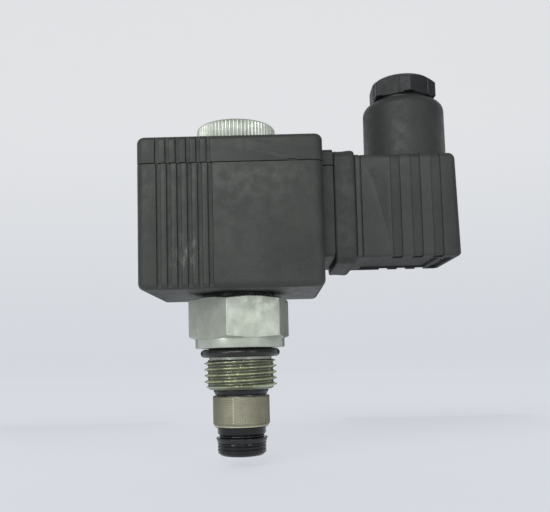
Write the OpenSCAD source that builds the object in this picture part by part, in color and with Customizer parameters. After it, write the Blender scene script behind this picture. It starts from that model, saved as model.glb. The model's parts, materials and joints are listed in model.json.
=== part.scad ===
/* [Coil] */
// Width of the moulded coil block along X
coil_w = 45.3; // [42:0.1:48]
// Offset of the coil block's middle from the valve axis along X
coil_shift = -0.75; // [-1:0.1:0.2]
// Depth of the moulded coil block along Y
coil_d = 39; // [36:0.5:42]
// Height of the underside of the coil block above the seating face
coil_z0 = 14; // [13.8:0.1:14.5]
// Height of the coil block
coil_h = 37.6; // [36:0.1:40]
// Height of the cap above the parting line
cap_h = 6.9; // [5:0.1:7]
// Corner radius of the coil block
coil_r = 2.2; // [1:0.1:4]
// Number of decorative grooves on each broad face
groove_n = 6; // [2:1:8]
// Spacing of the grooves
groove_pitch = 2.44; // [2.2:0.02:2.8]
// Width of one groove
groove_w = 1.25; // [0.8:0.05:1.6]
// Depth of one groove
groove_depth = 0.6; // [0.3:0.05:0.8]

/* [Valve body] */
// Distance across the flats of the hexagon
hex_af = 24; // [23:0.5:26]
// Height of the top of the hexagon
hex_top = 12.9; // [12:0.1:13.5]
// Turn of the hexagon about the valve axis
hex_turn = 20; // [0:0.5:60]
// Diameter of the collar
collar_d = 23.5; // [22:0.1:24]
// Thickness of the collar
collar_h = 2.75; // [2:0.05:4]
// Major diameter of the cavity thread
thread_d = 19.05; // [19.05]
// Length of the cavity thread
thread_len = 7.7; // [7:0.1:9]
// Length of the neck that carries the face seal
neck_len = 3; // [2.8:0.1:3.4]

/* [Cartridge end] */
// Diameter over the filter screen
screen_d = 14.9; // [14.6:0.1:15.2]
// Diameter of the nose land that enters the cavity bore
nose_d = 12.7; // [12.7]
// Distance from the seating face to the tip of the nose
nose_reach = 27.8; // [27.8]

/* [Plug connector] */
// Height of the square rubber gasket
gasket_h = 29; // [28:0.5:30]
// Height of the connector housing
housing_h = 26.4; // [25.5:0.1:26.5]
// Depth of the connector housing along Y
housing_d = 27.6; // [26:0.1:28]
// X of the outer end of the connector housing
housing_x1 = 56.2; // [55:0.1:57]
// Diameter of the cable entry neck
neck_d = 22.1; // [21:0.1:22.5]
// Distance across the flats of the gland screw
gland_af = 16; // [15:0.1:16.5]

/* [Coil nut] */
// Diameter of the knurled nut
nut_d = 21; // [20:0.1:22]
// Height of the knurled nut
nut_h = 7.3; // [6:0.1:8]
// Number of straight knurls
knurl_n = 64; // [48:1:80]

/* [Motion] */
// Stroke of the armature
armature_stroke = 1.6; // [1:0.1:1.8]

/* [Hidden] */
$fn = 64;

black = "#3b3e3b";
rubber = "#4a4a46";
plated = "#b4b9ac";
dark_rubber = "#1e1f21";
pale = "#d8d8cc";

// ---- heights along the valve axis ----
thread_z0 = -neck_len - thread_len;
cage_seal_z0 = thread_z0 - 1.5;
screen_z0 = -20.5;
land_z0 = screen_z0 - 1.9;
backup_z1 = land_z0 - 0.72;
groove_z0 = land_z0 - 2;
chamfer_h = 0.8;
tip_z = -nose_reach;
coil_x0 = coil_shift - coil_w / 2;
coil_x1 = coil_shift + coil_w / 2;
coil_z1 = coil_z0 + coil_h;
seam_z = coil_z1 - cap_h;
seam_gap = 0.15;
nut_z1 = coil_z1 + nut_h;

groove_x0 = coil_x0 + 4.3;

// ---- magnetic core ----
bore_r = 6.6;
tube_r = 6.45;
tube_wall = 0.6;
tube_z0 = 7.05;
core_r = tube_r - tube_wall;
armature_r = core_r - 0.05;
armature_z0 = 11;
armature_z1 = 30;
pole_z0 = armature_z1 + armature_stroke + 0.3;
stud_r = 4;
pin_r = 1;

// ---- iron frame of the coil ----
yoke_z0 = coil_z0 + 1.7;
yoke_z1 = coil_z1 - 1.7;
yoke_w = 36;
yoke_d = 26;
yoke_t = 2;

// ---- hydraulic inner parts ----
body_bore_r = 5.5;
seal_neck_r = 8.2;
seal_relief_r = 10.6;
seal_relief_h = 0.1;
spring_top_z = tube_z0 - 0.75;
spigot_r = 6.3;
spigot_z0 = cage_seal_z0 - 1.6;
groove_floor_r = 5.2;
nose_bore_r = 3.9;
seat_bore_r = 3.2;
poppet_r = 5.45;
poppet_z0 = -20;
poppet_z1 = -6.6;
poppet_lift = 1.2;

// ---- connector ----
boss_x1 = 24.9;
gasket_zc = 34.45;
boss_z0 = gasket_zc - 12.7;
boss_z1 = gasket_zc + 14.55;
boss_d = 28;
gasket_x0 = boss_x1;
gasket_x1 = 30.2;
housing_x0 = gasket_x1;
housing_z1 = gasket_zc + housing_h / 2 + 0.2;
housing_z0 = housing_z1 - housing_h;
wall = 1.6;
gland_x = 45.35;
neck_top = 64.4;
gland_bore_r = 6.7;
gland_thread_r = 7.6;
cable_r = 4;
gland_z0 = 65.4;
gland_z1 = 70.7;
gland_turn = 3;
fixing_z = housing_z0 + 3.9;
fixing_r = 1.5;
blade_t = 0.8;
blade_w = 6.3;
blade_x1 = 36.2;
blade_pitch = 18;
earth_drop = 8;

// ---- shared shapes ----
module tube(ro, ri, z0, z1) {
    difference() {
        translate([0, 0, z0]) cylinder(r = ro, h = z1 - z0);
        translate([0, 0, z0 - 1]) cylinder(r = ri, h = z1 - z0 + 2);
    }
}

module rod(r, z0, z1) {
    translate([0, 0, z0]) cylinder(r = r, h = z1 - z0);
}

module ring(r_mid, r_cord, z) {
    translate([0, 0, z]) rotate_extrude() translate([r_mid, 0]) circle(r = r_cord, $fn = 32);
}

// A block with its four upright edges rounded
module upright_block(x0, x1, d, z0, z1, r) {
    difference() {
        translate([x0, -d / 2, z0]) cube([x1 - x0, d, z1 - z0]);
        for (x = [x0, x1], y = [-d / 2, d / 2])
            difference() {
                translate([x, y, (z0 + z1) / 2]) cube([2 * r, 2 * r, z1 - z0 + 1], center = true);
                translate([x == x0 ? x0 + r : x1 - r, y < 0 ? -d / 2 + r : d / 2 - r, z0 - 1])
                    cylinder(r = r, h = z1 - z0 + 2);
            }
    }
}

// A block with the four edges that run along X rounded
module lying_block(x0, x1, d, z0, z1, r) {
    difference() {
        translate([x0, -d / 2, z0]) cube([x1 - x0, d, z1 - z0]);
        for (z = [z0, z1], y = [-d / 2, d / 2])
            difference() {
                translate([(x0 + x1) / 2, y, z]) cube([x1 - x0 + 1, 2 * r, 2 * r], center = true);
                translate([x0 - 1, y < 0 ? -d / 2 + r : d / 2 - r, z == z0 ? z0 + r : z1 - r])
                    rotate([0, 90, 0]) cylinder(r = r, h = x1 - x0 + 2);
            }
    }
}

// The row of grooves on the two broad faces
module face_grooves(depth, z0, z1) {
    for (i = [0 : groove_n - 1], side = [-1, 1])
        translate([groove_x0 + i * groove_pitch, side * coil_d / 2 - depth, z0])
            cube([groove_w, 2 * depth, z1 - z0]);
}

// ---- valve body and fixed core ----
module valve_body() {
    color(plated) difference() {
        union() {
            intersection() {
                rotate([0, 0, hex_turn - 90]) rotate([0, 0, 30])
                    rod_hex(hex_af, collar_h, hex_top);
                hull_of_chamfers();
            }
            difference() {
                rod(collar_d / 2, 0, collar_h);
                rod(seal_relief_r, -1, seal_relief_h);
            }
            rod(seal_neck_r, -neck_len, collar_h);
            rod(thread_d / 2, thread_z0, -neck_len);
            rod(spigot_r, spigot_z0, thread_z0);
        }
        translate([0, 0, -30]) cylinder(r = body_bore_r, h = 30 + spring_top_z);
        translate([0, 0, tube_z0 - 0.05]) cylinder(r = tube_r + 0.05, h = 20);
        translate([0, 0, spring_top_z - 1]) cylinder(r = 2.9, h = 3);
    }
}

module rod_hex(af, z0, z1) {
    translate([0, 0, z0]) cylinder(r = af / 2 / cos(30), h = z1 - z0, $fn = 6);
}

// Turned chamfers that round off the corners of the hexagon
module hull_of_chamfers() {
    corner = hex_af / 2 / cos(30) + 0.1;
    flat_r = hex_af / 2 - 0.1;
    drop = (corner - flat_r) * tan(15);
    rotate_extrude()
        polygon([
            [0, collar_h], [flat_r, collar_h], [corner, collar_h + drop],
            [corner, hex_top - drop], [flat_r, hex_top], [0, hex_top]
        ]);
}

module body_face_seal() {
    color(dark_rubber) ring(9.36, 1.1, -1.3);
}

module guide_tube() {
    color(plated) tube(tube_r, core_r, tube_z0, pole_z0 + 8);
}

module guide_tube_seal() {
    color(dark_rubber) ring(5.35, 0.45, pole_z0 + 4);
}

module pole_piece() {
    color(plated) difference() {
        union() {
            rod(core_r, pole_z0, pole_z0 + 8);
            rod(tube_r, pole_z0 + 8, coil_z1 + 0.6);
            rod(stud_r, coil_z1 + 0.6, nut_z1 - 1.4);
            translate([0, 0, nut_z1 - 1.4]) cylinder(r1 = stud_r, r2 = stud_r - 0.5, h = 0.5);
        }
        translate([0, 0, pole_z0 - 1]) cylinder(r = 2.6, h = 7);
        translate([0, 0, pole_z0 + 3.4]) rotate_extrude() translate([4.88, 0]) square([2, 1.2]);
    }
}

// ---- cartridge end ----
module cage() {
    port_z = -16.4;
    port_r = 1.4;
    color("#35373a") difference() {
        union() {
            rod(7.1, screen_z0, cage_seal_z0 - 0.1);
            rod(nose_d / 2, land_z0, screen_z0);
            rod(groove_floor_r, groove_z0, land_z0);
            rod(nose_d / 2, tip_z + chamfer_h, groove_z0);
            translate([0, 0, tip_z]) cylinder(r1 = nose_d / 2 - 0.9, r2 = nose_d / 2, h = chamfer_h);
        }
        translate([0, 0, -30]) cylinder(r = nose_bore_r, h = 40);
        translate([0, 0, poppet_z0 - 0.9]) cylinder(r = poppet_r + 0.05, h = 20);
        translate([0, 0, spigot_z0 - 0.1]) cylinder(r = spigot_r + 0.02, h = 5);
        for (a = [0 : 60 : 300]) rotate([0, 0, a]) translate([0, 0, port_z])
            rotate([0, 90, 0]) cylinder(r = port_r, h = 12);
    }
}

module cage_seal() {
    color(dark_rubber) difference() {
        translate([0, 0, cage_seal_z0]) cylinder(r1 = 6.9, r2 = 7.3, h = 1.4);
        translate([0, 0, cage_seal_z0 - 1]) cylinder(r = spigot_r + 0.02, h = 4);
    }
}

module filter_screen() {
    color("#9a9579") tube(screen_d / 2, 7.12, screen_z0 + 0.3, cage_seal_z0 - 0.2);
}

module nose_oring() {
    color(dark_rubber) ring(groove_floor_r + 0.34, 0.32, land_z0 - 0.36);
}

// A backup ring whose upper lip flares past the nose land
module nose_backup_ring() {
    color(dark_rubber) difference() {
        union() {
            translate([0, 0, groove_z0 + 0.02]) cylinder(r1 = nose_d / 2, r2 = 6.7, h = 0.5);
            translate([0, 0, groove_z0 + 0.52]) cylinder(r = 6.7, h = backup_z1 - groove_z0 - 0.52);
        }
        translate([0, 0, groove_z0 - 1]) cylinder(r = groove_floor_r + 0.02, h = 4);
    }
}

module valve_seat() {
    color(plated) difference() {
        rod(nose_bore_r - 0.02, tip_z + 0.6, poppet_z0 - 0.95);
        translate([0, 0, -40]) cylinder(r = seat_bore_r, h = 30);
        translate([0, 0, poppet_z0 - 1.95]) cylinder(r1 = seat_bore_r, r2 = 3.7, h = 1.1);
    }
}

module main_poppet() {
    color(plated) difference() {
        union() {
            rod(poppet_r, poppet_z0 + 1, poppet_z1);
            translate([0, 0, poppet_z0 - 0.8]) cylinder(r1 = 3.3, r2 = 4.4, h = 1.8);
        }
        translate([0, 0, poppet_z0 + 5]) cylinder(r = 3.7, h = 30);
        translate([0, 0, poppet_z0 - 2]) cylinder(r = 0.7, h = 20);
        for (s = [1, -1]) translate([s * 2.2, 0, poppet_z0 - 2]) cylinder(r = 0.4, h = 12);
    }
}

// Coils of round wire stacked as rings between two flat end turns
module stacked_spring(r_mid, r_wire, z0, z1, turns) {
    for (i = [0 : turns - 1])
        translate([0, 0, z0 + r_wire + i * (z1 - z0 - 2 * r_wire) / (turns - 1)])
            rotate_extrude() translate([r_mid, 0]) circle(r = r_wire, $fn = 16);
}

module poppet_spring() {
    color(plated) stacked_spring(3.1, 0.35, poppet_z0 + 5.02, spring_top_z - 0.02, 10);
}

module armature() {
    color(plated) difference() {
        rod(armature_r, armature_z0, armature_z1);
        translate([0, 0, armature_z1 - 6]) cylinder(r = 2.6, h = 8);
        translate([0, 0, armature_z0 - 1]) cylinder(r = pin_r + 0.5, h = 9);
        for (s = [-1, 1]) translate([s * 4.6, 0, armature_z0 - 1]) cylinder(r = 0.7, h = 40);
    }
}

module pilot_pin() {
    color(plated) union() {
        rod(pin_r + 0.48, armature_z0 + 0.5, armature_z0 + 7.9);
        rod(pin_r, poppet_z0 + 7, armature_z0 + 0.5);
        translate([0, 0, poppet_z0 + 5.4]) cylinder(r1 = 0.3, r2 = pin_r, h = 1.6);
    }
}

module armature_spring() {
    color(plated) stacked_spring(2, 0.3, armature_z1 - 5.9, pole_z0 + 5.9, 8);
}

// ---- coil ----
// The part of the terminal boss between two heights
module terminal_boss(z0, z1) {
    intersection() {
        lying_block(coil_x1 - 1, boss_x1, boss_d, boss_z0, boss_z1, 1.5);
        translate([coil_x1 - 2, -boss_d, z0]) cube([10, 2 * boss_d, z1 - z0]);
    }
}

module coil_housing() {
    color(black) difference() {
        union() {
            upright_block(coil_x0, coil_x1, coil_d, coil_z0, seam_z, coil_r);
            terminal_boss(boss_z0, seam_z);
        }
        translate([coil_x0 + wall, -coil_d / 2 + wall, coil_z0 + wall])
            cube([coil_w - 2 * wall, coil_d - 2 * wall, coil_h]);
        translate([0, 0, 0]) cylinder(r = 9.5, h = 30);
        for (s = [-1, 1]) blade_slot(s);
        earth_slot();
        translate([20, 0, fixing_z]) rotate([0, 90, 0]) cylinder(r = 2.3, h = 10);
        face_grooves(groove_depth, coil_z0 - 1, seam_z + 1);
    }
}

module blade_slot(s) {
    translate([20, s * blade_pitch / 2 - blade_t / 2 - 0.05, gasket_zc - blade_w / 2 - 0.05])
        cube([10, blade_t + 0.1, blade_w + 0.1]);
}

module earth_slot() {
    translate([20, -blade_w / 2 - 0.05, gasket_zc + earth_drop - blade_t / 2 - 0.05])
        cube([10, blade_w + 0.1, blade_t + 0.1]);
}

module coil_cap() {
    color(black) difference() {
        union() {
            upright_block(coil_x0, coil_x1, coil_d, seam_z + seam_gap, coil_z1, coil_r);
            terminal_boss(seam_z + seam_gap, boss_z1);
        }
        translate([coil_x0 + wall, -coil_d / 2 + wall, seam_z - 1])
            cube([coil_w - 2 * wall, coil_d - 2 * wall, cap_h - wall + 1]);
        translate([0, 0, seam_z - 5]) cylinder(r = 9.5, h = 30);
        face_grooves(groove_depth, seam_z - 1, coil_z1 + 1);
    }
}

module bobbin() {
    color("#d8d2bd") difference() {
        union() {
            rod(bore_r + 1, yoke_z0 + 2.1, yoke_z1 - 2.1);
            rod(15.4, yoke_z0 + 2.1, yoke_z0 + 3.3);
            rod(15.4, yoke_z1 - 3.3, yoke_z1 - 2.1);
        }
        translate([0, 0, yoke_z0]) cylinder(r = bore_r, h = 50);
    }
}

module copper_winding() {
    color("#a4532a") tube(14.6, bore_r + 1.02, yoke_z0 + 3.35, yoke_z1 - 3.35);
}

module yoke_frame() {
    color("#8a8d8c") difference() {
        translate([-yoke_w / 2, -yoke_d / 2, yoke_z0]) cube([yoke_w, yoke_d, yoke_z1 - yoke_z0]);
        translate([-yoke_w / 2 + yoke_t, -yoke_d, yoke_z0 + yoke_t])
            cube([yoke_w - 2 * yoke_t, 2 * yoke_d, yoke_z1 - yoke_z0 - 2 * yoke_t]);
        translate([0, 0, yoke_z0 - 1]) cylinder(r = bore_r, h = 60);
    }
}

module flux_washer() {
    color("#8a8d8c") tube(9.4, bore_r, coil_z1 - 1.65, coil_z1 - 0.05);
}

module coil_seal_lower() {
    color(dark_rubber) tube(9.3, 6.6, hex_top + 0.02, coil_z0 + 1.6);
}

module coil_seal_upper() {
    color(dark_rubber) ring(7.2, 0.72, coil_z1 + 0.75);
}

module terminal_blades() {
    color(pale) for (s = [-1, 1])
        translate([19.4, s * blade_pitch / 2 - blade_t / 2, gasket_zc - blade_w / 2])
            cube([blade_x1 - 19.4, blade_t, blade_w]);
}

module earth_blade() {
    color(pale) translate([19.4, -blade_w / 2, gasket_zc + earth_drop - blade_t / 2])
        cube([blade_x1 - 19.4, blade_w, blade_t]);
}

module threaded_insert() {
    color("#b08d4a") translate([coil_x1 - 1.8, 0, fixing_z]) rotate([0, 90, 0]) tube(2.28, 1.55, 0, boss_x1 - coil_x1 + 1.7);
}

// ---- coil nut ----
module coil_nut() {
    color("#d3d6c8") difference() {
        union() {
            rod(nut_d / 2 - 0.35, coil_z1 + 0.02, nut_z1);
            intersection() {
                difference() {
                    rod(nut_d / 2, coil_z1 + 0.6, nut_z1 - 0.5);
                    for (i = [0 : knurl_n - 1]) rotate([0, 0, i * 360 / knurl_n])
                        translate([nut_d / 2 + 0.12, 0, coil_z1])
                            rotate([0, 0, 45]) cube([0.66, 0.66, 40], center = true);
                }
                rod(nut_d, coil_z1, nut_z1);
            }
        }
        translate([0, 0, coil_z1 - 1]) cylinder(r = stud_r + 0.05, h = nut_h + 2);
        translate([0, 0, coil_z1 - 1]) cylinder(r = 8.1, h = 2.6);
    }
}

// ---- plug connector ----
module connector_gasket() {
    color(rubber) difference() {
        lying_block(gasket_x0, gasket_x1, gasket_h, gasket_zc - gasket_h / 2, gasket_zc + gasket_h / 2, 3);
        translate([gasket_x0 - 1, -10.5, gasket_zc - 7]) cube([10, 21, 17.6]);
        translate([gasket_x0 - 1, 0, fixing_z]) rotate([0, 90, 0]) cylinder(r = 1.9, h = 10);
    }
}

module connector_housing() {
    color(black) difference() {
        union() {
            upright_block(housing_x0, housing_x1, housing_d, housing_z0, housing_z1, 1.8);
            translate([gland_x, 0, 0]) rod(neck_d / 2 - 0.1, housing_z1 - 1, neck_top - 0.8);
            translate([gland_x, 0, neck_top - 0.8]) cylinder(r1 = neck_d / 2 - 0.1, r2 = neck_d / 2 - 0.9, h = 0.8);
        }
        translate([housing_x0 - 1, -housing_d / 2 + wall, housing_z0 + 7.2])
            cube([housing_x1 - housing_x0 - wall + 1, housing_d - 2 * wall, housing_h - 7.2 - wall]);
        translate([gland_x, 0, housing_z1 - 4]) cylinder(r = gland_thread_r + 0.03, h = 30);
        translate([housing_x0 - 1, 0, fixing_z]) rotate([0, 90, 0]) cylinder(r = fixing_r + 0.05, h = 40);
        translate([housing_x1 - 4.4, 0, fixing_z]) rotate([0, 90, 0]) cylinder(r = 3.3, h = 6);
        for (x = [39.1, 44.2, 49.3], side = [-1, 1])
            translate([x, side * housing_d / 2 - 0.35, housing_z0 - 1]) cube([2.5, 0.7, housing_h + 2]);
    }
}

module terminal_block() {
    color("#5a5c58") difference() {
        translate([housing_x0 + 0.3, -11.6, housing_z0 + 7.5]) cube([10.2, 23.2, 15.8]);
        for (s = [-1, 1]) {
            translate([20, s * blade_pitch / 2 - 2.2, gasket_zc - 3.7]) cube([26, 4.4, 7.4]);
            translate([37, s * blade_pitch / 2, gasket_zc]) rotate([0, 90, 0]) cylinder(r = 1.9, h = 10);
        }
        translate([20, -3.7, gasket_zc + earth_drop - 1.9]) cube([26, 7.4, 3.2]);
    }
}

module contact_sleeves() {
    color("#c2a25a") {
        for (s = [-1, 1])
            difference() {
                translate([31.2, s * blade_pitch / 2 - 2.1, gasket_zc - 3.6]) cube([7.6, 4.2, 7.2]);
                translate([30, s * blade_pitch / 2 - 0.45, gasket_zc - 3.2]) cube([6.6, 0.9, 6.4]);
                translate([36.5, s * blade_pitch / 2, gasket_zc]) rotate([0, 90, 0]) cylinder(r = 1.52, h = 4);
            }
        difference() {
            translate([31.2, -3.6, gasket_zc + earth_drop - 1.2]) cube([7.6, 7.2, 2.4]);
            translate([30, -3.2, gasket_zc + earth_drop - 0.45]) cube([6.6, 6.4, 0.9]);
        }
    }
}

module clamp_screws() {
    color(plated) for (s = [-1, 1])
        translate([0, s * blade_pitch / 2, gasket_zc]) difference() {
            rotate([0, 90, 0]) union() {
                rod(1.5, 37, 38.9);
                rod(1.85, 38.9, 40.4);
            }
            translate([39.8, -3, -0.25]) cube([2, 6, 0.5]);
        }
}

module fixing_screw() {
    color(plated) translate([0, 0, fixing_z]) difference() {
        rotate([0, 90, 0]) union() {
            rod(fixing_r, coil_x1 - 1, housing_x1 - 3.3);
            rod(3, housing_x1 - 3.4, housing_x1 - 1.2);
        }
        translate([housing_x1 - 2, -4, -0.4]) cube([3, 8, 0.8]);
    }
}

module fixing_screw_seal() {
    color(dark_rubber) translate([0, 0, fixing_z]) rotate([0, 90, 0])
        tube(2.9, 1.6, housing_x1 - 4.38, housing_x1 - 3.42);
}

module cable_seal() {
    color(dark_rubber) translate([gland_x, 0, 0]) tube(gland_bore_r, cable_r, housing_z1 + 2, housing_z1 + 9);
}

module gland_washer() {
    color(pale) translate([gland_x, 0, 0]) tube(gland_bore_r + 0.6, cable_r + 0.3, housing_z1 + 9.05, housing_z1 + 9.75);
}

module gland_screw() {
    color(black) translate([gland_x, 0, 0]) difference() {
        union() {
            intersection() {
                rotate([0, 0, gland_turn - 90]) rod_hex(gland_af, gland_z0, gland_z1);
                union() {
                    rod(gland_af / 2 + 1.4, gland_z0, gland_z1 - 1);
                    translate([0, 0, gland_z1 - 1]) cylinder(r1 = gland_af / 2 + 1.4, r2 = gland_af / 2 - 0.6, h = 1);
                }
            }
            rod(gland_thread_r, housing_z1 + 9.8, gland_z0 + 1);
        }
        translate([0, 0, housing_z1]) cylinder(r = cable_r, h = 40);
    }
}

valve_body();
body_face_seal();
guide_tube();
pole_piece();
guide_tube_seal();
cage();
cage_seal();
filter_screen();
nose_oring();
nose_backup_ring();
valve_seat();
main_poppet();
poppet_spring();
armature();
pilot_pin();
armature_spring();
coil_housing();
coil_cap();
bobbin();
copper_winding();
yoke_frame();
flux_washer();
terminal_blades();
earth_blade();
threaded_insert();
coil_seal_lower();
coil_seal_upper();
coil_nut();
connector_gasket();
connector_housing();
terminal_block();
contact_sleeves();
clamp_screws();
fixing_screw();
fixing_screw_seal();
cable_seal();
gland_washer();
gland_screw();
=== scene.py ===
import json
import math

import bmesh
import bpy
from mathutils import Matrix, Vector


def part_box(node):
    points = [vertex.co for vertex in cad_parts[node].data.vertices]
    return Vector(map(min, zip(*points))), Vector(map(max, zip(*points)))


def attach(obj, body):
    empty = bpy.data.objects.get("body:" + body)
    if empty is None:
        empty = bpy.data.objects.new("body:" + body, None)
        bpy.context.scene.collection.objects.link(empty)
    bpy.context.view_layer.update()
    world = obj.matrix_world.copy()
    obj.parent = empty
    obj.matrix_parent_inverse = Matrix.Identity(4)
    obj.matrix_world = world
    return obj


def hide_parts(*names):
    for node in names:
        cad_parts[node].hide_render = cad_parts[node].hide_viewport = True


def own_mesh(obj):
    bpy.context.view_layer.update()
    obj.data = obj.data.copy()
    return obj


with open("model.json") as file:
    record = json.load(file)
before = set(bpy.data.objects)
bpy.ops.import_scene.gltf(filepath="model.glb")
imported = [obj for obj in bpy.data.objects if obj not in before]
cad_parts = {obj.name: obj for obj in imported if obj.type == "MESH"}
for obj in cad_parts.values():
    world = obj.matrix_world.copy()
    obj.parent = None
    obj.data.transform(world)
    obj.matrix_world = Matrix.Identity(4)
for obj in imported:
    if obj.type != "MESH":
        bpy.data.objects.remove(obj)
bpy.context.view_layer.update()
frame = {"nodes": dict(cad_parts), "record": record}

MM = 0.001
SCENE = bpy.context.scene


# ---------------------------------------------------------------- measures from the frame
def mm_box(node):
    """Lowest and highest corner of a CAD node, in millimetres."""
    low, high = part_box(node)
    return [v / MM for v in low], [v / MM for v in high]


SHELL_LO, SHELL_HI = mm_box("coil_housing")
CAP_LO, CAP_HI = mm_box("coil_cap")
GASKET_LO, GASKET_HI = mm_box("connector_gasket")
PLUG_LO, PLUG_HI = mm_box("connector_housing")
BODY_LO = mm_box("valve_body")[0]
SCREW_LO, SCREW_HI = mm_box("gland_screw")
NUT_LO, NUT_HI = mm_box("coil_nut")
CAGE_LO = mm_box("cage")[0]
SCREEN_LO, SCREEN_HI = mm_box("filter_screen")
CAGE_SEAL_LO, CAGE_SEAL_HI = mm_box("cage_seal")
RING_LO, RING_HI = mm_box("body_face_seal")
BACKUP_LO, BACKUP_HI = mm_box("nose_backup_ring")
FIXING_LO, FIXING_HI = mm_box("fixing_screw")

# coil: outline, walls and bores
COIL_HALF_Y = SHELL_HI[1]
COIL_W = 45.3
COIL_X0 = SHELL_LO[0]
COIL_X1 = COIL_X0 + COIL_W
COIL_Z0 = SHELL_LO[2]
COIL_Z1 = CAP_HI[2]
SEAM_LOW = SHELL_HI[2]
SEAM_HIGH = CAP_LO[2]
CAP_OVERHANG = 0.1
WALL = 1.6
COIL_EDGE_R = 2.2
COIL_FOOT_R = 1.7
COIL_TOP_R = 1.5
COIL_BORE_R = 9.5
SEAM_CHIP_X = (13.3, 15.4)

# terminal boss; BLADE_SLOT is half the thickness and half the width of a slot
BOSS_X1 = SHELL_HI[0]
BOSS_HALF_Y = GASKET_HI[1] - 0.5
BOSS_Z0 = GASKET_LO[2] + 1.8
BOSS_Z1 = GASKET_HI[2] + 0.05
FIXING_Z = (FIXING_LO[2] + FIXING_HI[2]) / 2
BLADE_Z = (GASKET_LO[2] + GASKET_HI[2]) / 2
SCREW_BORE_R = 2.3
BLADE_Y = 9
BLADE_SLOT = (0.45, 3.2)
EARTH_SLOT_Z = (7.55, 8.45)

# grooves in the broad faces of the coil
GROOVE_COUNT = 6
GROOVE_PITCH = 2.5
GROOVE_W = 1.25
GROOVE_DEPTH = 0.6
GROOVE_X0 = COIL_X0 + 4.8
CAP_GROOVE_SHIFT = -0.35
CAP_GROOVE_TAPER = 0.06

# plug housing
PLUG_TOP = 47.85
PLUG_NECK_R = 10.95
NECK_TOP = PLUG_HI[2]
PLUG_BANDS = (39.1, 44.2, 49.3)
PLUG_BAND_W = 2.5
PLUG_BAND_DEPTH = 0.45
PLUG_STEP = 0.25
PLUG_EDGE_R = 1.9
PLUG_RIB_X = (51.2, 52.4)
PLUG_DIMPLE = (34.9, 41.9)
PLUG_NICK_Z = (40.3, 40.6)
GLAND_BORE_R = 7.63
FIXING_HEAD_R = 3.3
FIXING_SHANK_R = 1.55

# gland screw
GLAND_X = (SCREW_LO[0] + SCREW_HI[0]) / 2
GLAND_AF = 16.0
GLAND_TURN = math.radians(-90 + 3)
GLAND_Z0 = 65.4
GLAND_Z1 = SCREW_HI[2]
GLAND_THREAD_R = 7.6
CABLE_BORE_R = 4.0
CORNER_BREAK = 0.07

# knurled nut
NUT_KNURLS = 64
KNURL_DEPTH = 0.42
NUT_BORE_R = 4.05
NUT_RECESS_R = 8.1

# valve body and its thread
HEX_AF = 24.0
HEX_TURN = math.radians(20 - 60)
HEX_TOP = mm_box("coil_seal_lower")[0][2]
COLLAR_R = 11.75
COLLAR_H = 2.75
THREAD_R = 9.525
THREAD_PITCH = 25.4 / 16
THREAD_TOP = -3.0
THREAD_LOW = -10.7
NECK_R = 8.2
SPIGOT_R = 6.3
BODY_BORE_R = 5.5
BODY_BORE_TOP = 6.3
STEM_BORE_R = 2.9
TUBE_SOCKET_R = 6.5
TUBE_SOCKET_Z = 7.0
SEAL_RING_R = 9.36
SEAL_CORD_R = 1.08
SEAL_LEAN = (0.004, 0)

# filter screen and nose
SCREEN_WIRES = 74
SCREEN_BORE_R = 7.12
NOSE_LAND_R = 6.35
NOSE_GROOVE_R = 5.2
NOSE_BORE_R = 3.9
CAGE_SEAT_Z = -20.9
CAGE_TOP = -12.3
BACKUP_BORE_R = 5.22


# ---------------------------------------------------------------- mesh building
class Shape:
    """Collects closed surfaces, in millimetres, into one mesh."""

    def __init__(self):
        self.verts = []
        self.faces = []

    def loft(self, rings, caps=True, wrap=False):
        """Joins rings of equally many points; the ends are closed unless the rings wrap round."""
        start = len(self.verts)
        n = len(rings[0])
        for ring in rings:
            self.verts.extend(ring)
        spans = len(rings) if wrap else len(rings) - 1
        for i in range(spans):
            a = start + i * n
            b = start + ((i + 1) % len(rings)) * n
            for j in range(n):
                k = (j + 1) % n
                self.faces.append((a + j, a + k, b + k, b + j))
        if caps and not wrap:
            self.faces.append(tuple(start + j for j in reversed(range(n))))
            last = start + (len(rings) - 1) * n
            self.faces.append(tuple(last + j for j in range(n)))
        return self

    def lathe(self, profile, steps=96, centre=(0, 0), wrap=False):
        """Turns (radius, z) points about an upright axis."""
        rings = []
        for r, z in profile:
            ring = []
            for i in range(steps):
                a = 2 * math.pi * i / steps
                ring.append((centre[0] + r * math.cos(a), centre[1] + r * math.sin(a), z))
            rings.append(ring)
        return self.loft(rings, wrap=wrap)

    def build(self, name, sharp=35):
        mesh = bpy.data.meshes.new(name)
        mesh.from_pydata([tuple(c * MM for c in v) for v in self.verts], [], self.faces)
        obj = bpy.data.objects.new(name, mesh)
        SCENE.collection.objects.link(obj)
        tidy_mesh(obj, sharp)
        return obj


def tidy_mesh(obj, sharp=35):
    """Merges doubled points, turns the faces outwards and shades the mesh smooth up to an angle."""
    bm = bmesh.new()
    bm.from_mesh(obj.data)
    bmesh.ops.remove_doubles(bm, verts=bm.verts, dist=0.002 * MM)
    bmesh.ops.dissolve_degenerate(bm, edges=bm.edges, dist=0.001 * MM)
    bmesh.ops.recalc_face_normals(bm, faces=bm.faces)
    for face in bm.faces:
        face.smooth = True
    bm.to_mesh(obj.data)
    bm.free()
    obj.data.set_sharp_from_angle(angle=math.radians(sharp))


def carve(obj, cutter, join=False, sharp=35):
    """Cuts a shape out of obj, or joins it on, and leaves the result in obj's mesh."""
    tool = cutter.build("cutter", sharp)
    mod = obj.modifiers.new("carve", "BOOLEAN")
    mod.operation = "UNION" if join else "DIFFERENCE"
    mod.solver = "EXACT"
    mod.object = tool
    bpy.context.view_layer.update()
    done = bpy.data.meshes.new_from_object(obj.evaluated_get(bpy.context.evaluated_depsgraph_get()))
    obj.modifiers.clear()
    obj.data = done
    bpy.data.objects.remove(tool)
    tidy_mesh(obj, sharp)


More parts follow.
